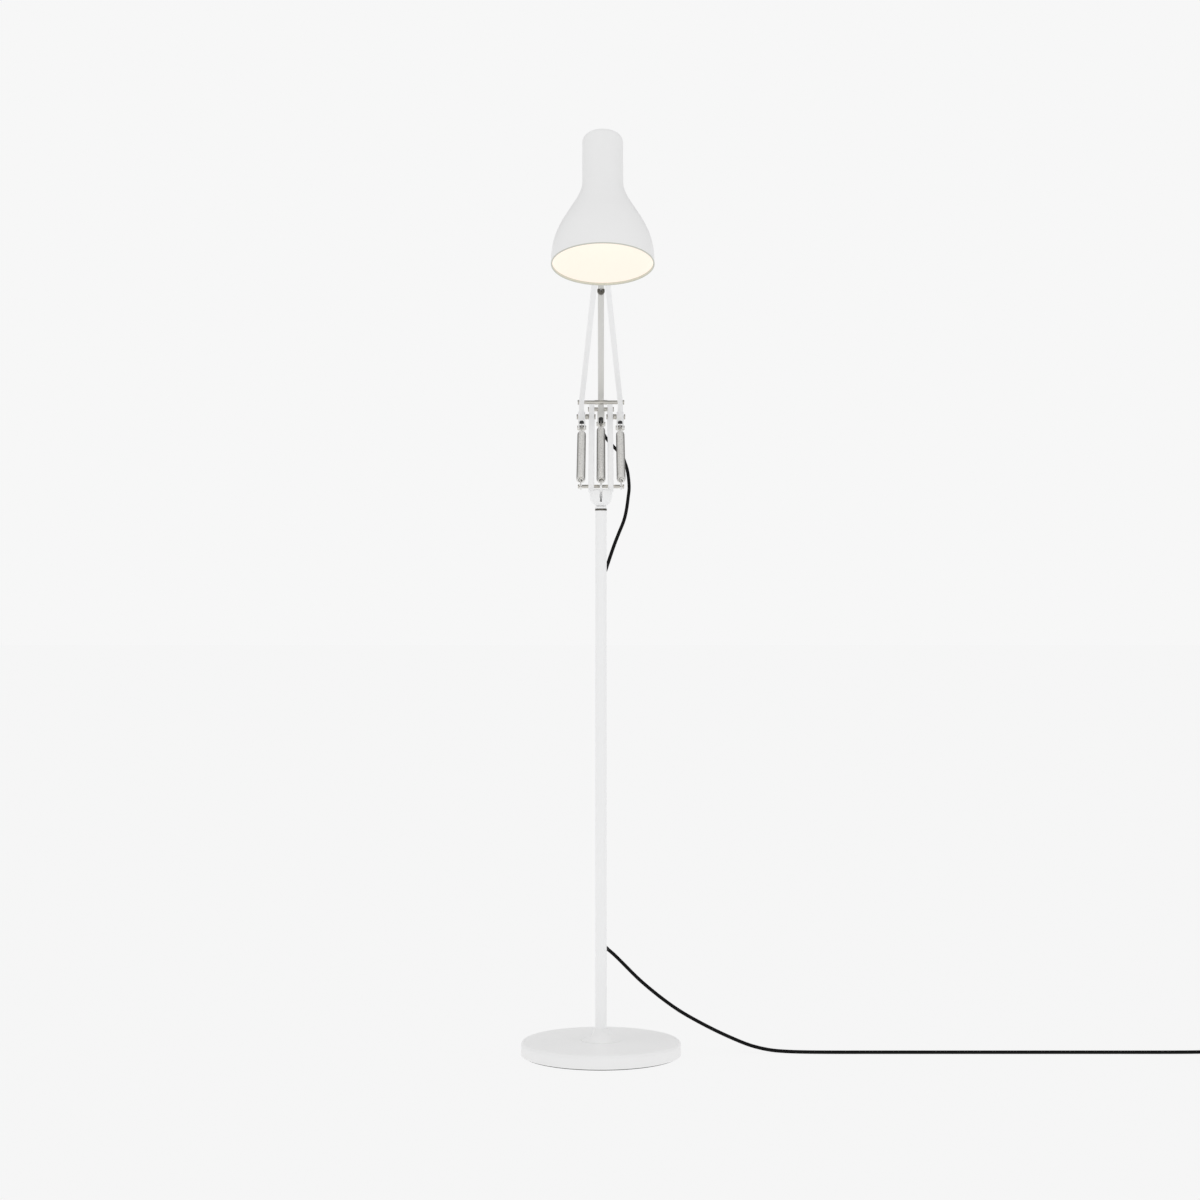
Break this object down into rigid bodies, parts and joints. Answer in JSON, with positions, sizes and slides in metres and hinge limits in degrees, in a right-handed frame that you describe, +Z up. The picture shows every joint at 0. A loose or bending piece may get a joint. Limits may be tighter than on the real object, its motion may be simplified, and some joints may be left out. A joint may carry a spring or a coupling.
{
  "type": "adjustable arm floor lamp",
  "caption": "Floor lamp on a round weighted base, with a plain stem, a swivelling sprung two-part arm, a bell shade on a tilting head, and a black cord.",
  "frame": {"origin": "centre of the base's underside, on the stem's axis", "axes": "+Z up along the stem, +X to the lamp's right as seen from the front, front faces -Y, where the shade opens"},
  "size_m": [1.0437, 0.4867, 1.2845],
  "materials": {
    "white_paint": "satin powder coat",
    "warm_metal": "satin, warm grey",
    "nickel": "brushed nickel",
    "spring_steel": "bright drawn wire",
    "dark_metal": "dark nickel",
    "iron": "plain casting",
    "black_plastic": "matte",
    "cord_black": "woven cover",
    "pad_rubber": "matte",
    "holder_white": "satin",
    "bulb": "opal, lit",
    "brass": "plain"
  },
  "bodies": {
    "stand": {"base_cover": "white_paint", "base_collar": "white_paint", "base_weight": "iron", "base_pad": "pad_rubber", "base_bolt": "dark_metal", "stem_tube": "white_paint", "stem_bush": "black_plastic", "stem_washer": "dark_metal", "cord_grommets": "black_plastic", "stem_cord": "cord_black", "upper_cord_c": "cord_black", "mains_cord": "cord_black", "cord_relief": "black_plastic", "mains_coil": "cord_black", "plug_lead": "cord_black", "mains_plug": "black_plastic", "plug_pins": "brass", "cord_tie": "black_plastic"},
    "knuckle": {"knuckle_spigot": "white_paint", "knuckle_left": "white_paint", "knuckle_right": "white_paint", "knuckle_pin": "nickel", "upper_cord_b": "cord_black"},
    "lower_arm": {"arm_foot": "white_paint", "lower_bar_left": "white_paint", "lower_bar_right": "white_paint", "spring_rod": "nickel", "elbow_pins": "nickel", "elbow_spacers": "nickel", "centre_pin": "nickel", "centre_spacers": "nickel", "upper_cord_a": "cord_black"},
    "upper_arm": {"outer_bar_left": "white_paint", "outer_bar_right": "white_paint", "arm_crossbar": "nickel", "outer_plugs": "black_plastic", "outer_spring_pins": "nickel"},
    "centre_arm": {"centre_bar": "warm_metal", "bar_collar": "dark_metal", "centre_plug": "black_plastic", "centre_spring_pin": "nickel", "cord_gland": "black_plastic"},
    "outer_springs": {"outer_coil_left": "spring_steel", "outer_coil_right": "spring_steel"},
    "outer_spring_ends": {"outer_hooks": "spring_steel"},
    "centre_spring": {"centre_coil": "spring_steel"},
    "centre_spring_end": {"centre_hook": "spring_steel"},
    "head": {"head_link": "white_paint", "head_pins": "nickel"},
    "shade": {"shade_hinge_pin": "nickel", "shade_shell": "white_paint", "shade_boss": "white_paint", "lamp_holder": "holder_white", "bulb_cap": "brass", "bulb_glass": "bulb", "switch_housing": "white_paint"},
    "button": {"switch_button": "black_plastic"}
  },
  "joints": [
    {"name": "knuckle_swivel", "type": "hinge", "parent": "stand", "child": "knuckle", "pos_m": [0, 0, 0.788], "axis": [0, 0, 1], "range_deg": [-90, 90], "deforming": ["upper_cord_c"]},
    {"name": "lower_arm_tilt", "type": "hinge", "parent": "knuckle", "child": "lower_arm", "pos_m": [0, 0, 0.788], "axis": [1, 0, 0], "range_deg": [-10, 35], "deforming": ["upper_cord_b"]},
    {"name": "elbow", "type": "hinge", "parent": "lower_arm", "child": "upper_arm", "pos_m": [0, 0.19985, 0.91483], "axis": [1, 0, 0], "range_deg": [-18, 30]},
    {"name": "centre_bar_pivot", "type": "hinge", "parent": "lower_arm", "child": "centre_arm", "pos_m": [0, 0.21986, 0.92753], "axis": [1, 0, 0], "range_deg": [-20, 32], "deforming": ["upper_cord_a"]},
    {"name": "head_pivot", "type": "hinge", "parent": "centre_arm", "child": "head", "pos_m": [0, -0.02437, 1.10174], "axis": [1, 0, 0], "range_deg": [-32, 20]},
    {"name": "outer_spring_swing", "type": "hinge", "parent": "upper_arm", "child": "outer_springs", "pos_m": [0, 0.22069, 0.89996], "axis": [1, 0, 0], "range_deg": [-31, 21]},
    {"name": "outer_spring_stretch", "type": "slide", "parent": "outer_springs", "child": "outer_spring_ends", "axis": [0, -0.8969, -0.4423], "range_m": [-0.009, 0.012], "deforming": ["outer_coil_left", "outer_coil_right"]},
    {"name": "centre_spring_swing", "type": "hinge", "parent": "centre_arm", "child": "centre_spring", "pos_m": [0, 0.24771, 0.90767], "axis": [1, 0, 0], "range_deg": [-31, 21]},
    {"name": "centre_spring_stretch", "type": "slide", "parent": "centre_spring", "child": "centre_spring_end", "axis": [0, -0.9056, -0.4241], "range_m": [-0.012, 0.016], "deforming": ["centre_coil"]},
    {"name": "shade_tilt", "type": "hinge", "parent": "head", "child": "shade", "pos_m": [0, -0.04759, 1.16346], "axis": [1, 0, 0], "range_deg": [-50, 10]},
    {"name": "switch_press", "type": "slide", "parent": "shade", "child": "button", "axis": [0, -0.9622, 0.2723], "range_m": [0, 0.002], "stiffness_N_per_m": 400}
  ],
  "couplings": [
    {"joint": "centre_bar_pivot", "follows": "elbow", "ratio": 1},
    {"joint": "head_pivot", "follows": "elbow", "ratio": -1},
    {"joint": "outer_spring_swing", "follows": "elbow", "ratio": -0.94},
    {"joint": "outer_spring_stretch", "follows": "elbow", "m_per_rad": 0.02},
    {"joint": "centre_spring_swing", "follows": "elbow", "ratio": -0.92},
    {"joint": "centre_spring_stretch", "follows": "elbow", "m_per_rad": 0.0275}
  ]
}
